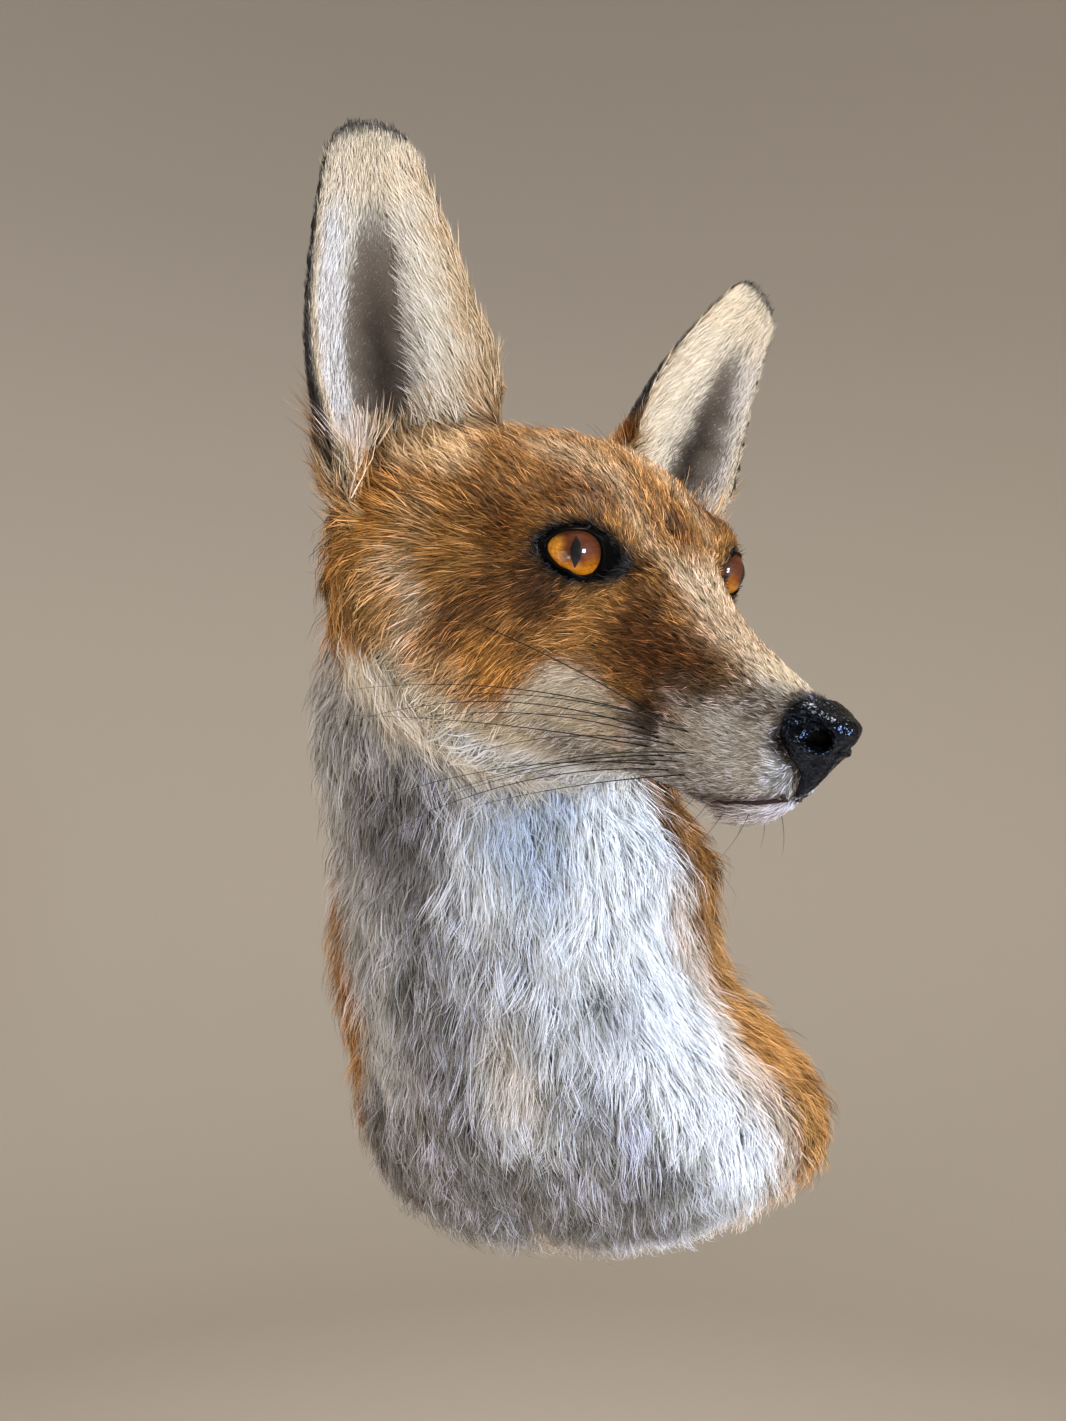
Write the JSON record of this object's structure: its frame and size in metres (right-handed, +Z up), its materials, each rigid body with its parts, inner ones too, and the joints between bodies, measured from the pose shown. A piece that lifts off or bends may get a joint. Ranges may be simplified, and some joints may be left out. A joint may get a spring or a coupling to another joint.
{
  "type": "taxidermy fox shoulder mount",
  "caption": "Red fox shoulder mount: head turned to its left, pricked ears and a white bib, on a hidden back board with a hanger.",
  "frame": {"origin": "middle of the back board's flat rear face, on the wall", "axes": "+Z up the wall, +Y into the wall, -Y out into the room, +X to the right of a viewer who faces the mount (the fox's own left)"},
  "size_m": [0.2101, 0.2715, 0.389],
  "materials": {
    "coat": "fur: russet agouti on the face, neck sides and back, white on the cheeks, throat and chest",
    "ear_coat": "short fur: black backs, cream rims, pale grey and white hair inside",
    "eye": "polished glass, amber iris with an upright slit pupil",
    "nose_pad": "pebbled, varnished black",
    "board": "bare plywood",
    "hanger": "zinc plated"
  },
  "bodies": {
    "root": {"head": "coat", "muzzle": "coat", "lower_jaw": "coat", "neck": "coat", "chest": "coat", "shoulder_left": "coat", "shoulder_right": "coat", "ear_left": "ear_coat", "ear_right": "ear_coat", "eye_left": "eye", "eye_right": "eye", "nose": "nose_pad", "back_board": "board", "hanger": "hanger"}
  },
  "joints": []
}
